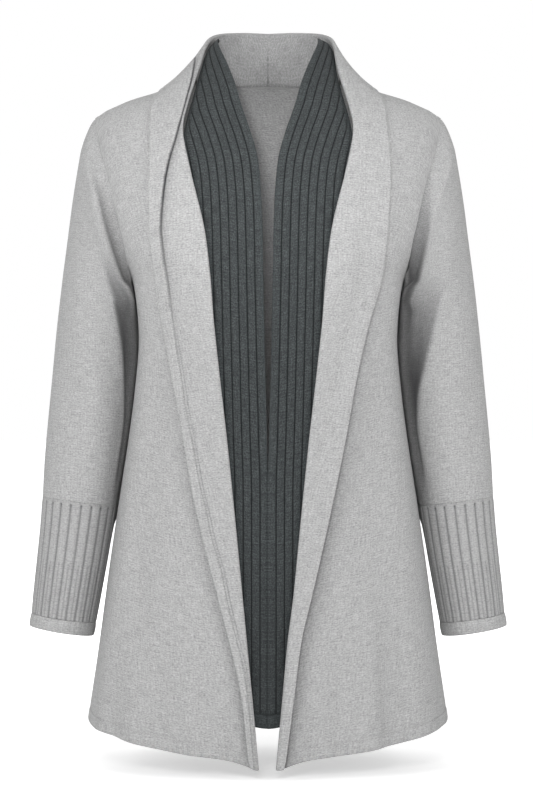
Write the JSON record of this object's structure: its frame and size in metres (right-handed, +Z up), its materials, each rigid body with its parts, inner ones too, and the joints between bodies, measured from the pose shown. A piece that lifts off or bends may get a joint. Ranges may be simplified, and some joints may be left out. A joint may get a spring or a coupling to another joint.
{
  "type": "open-front cardigan with shawl collar and rib inner panels",
  "caption": "Worn, hollow light-grey knitted cardigan: shawl collar turned back to the hem, charcoal rib inner panels meeting in a V, long sleeves with deep ribbed cuffs.",
  "frame": {"origin": "middle of the neck on the shoulder line, where the wearer's shoulders hold the garment", "axes": "+Z up, +Y toward the wearer's back, +X toward the wearer's left"},
  "size_m": [0.5524, 0.2528, 0.8396],
  "materials": {
    "grey_marl_knit": "matte fine knit",
    "charcoal_rib_knit": "matte rib knit"
  },
  "bodies": {
    "root": {"back": "grey_marl_knit", "front_left": "grey_marl_knit", "collar_band_left": "grey_marl_knit", "inner_rib_panel_left": "charcoal_rib_knit", "inner_hem_band_left": "charcoal_rib_knit", "sleeve_left": "grey_marl_knit", "ribbed_cuff_left": "grey_marl_knit", "cuff_band_left": "grey_marl_knit", "front_right": "grey_marl_knit", "collar_band_right": "grey_marl_knit", "inner_rib_panel_right": "charcoal_rib_knit", "inner_hem_band_right": "charcoal_rib_knit", "sleeve_right": "grey_marl_knit", "ribbed_cuff_right": "grey_marl_knit", "cuff_band_right": "grey_marl_knit"}
  },
  "joints": []
}
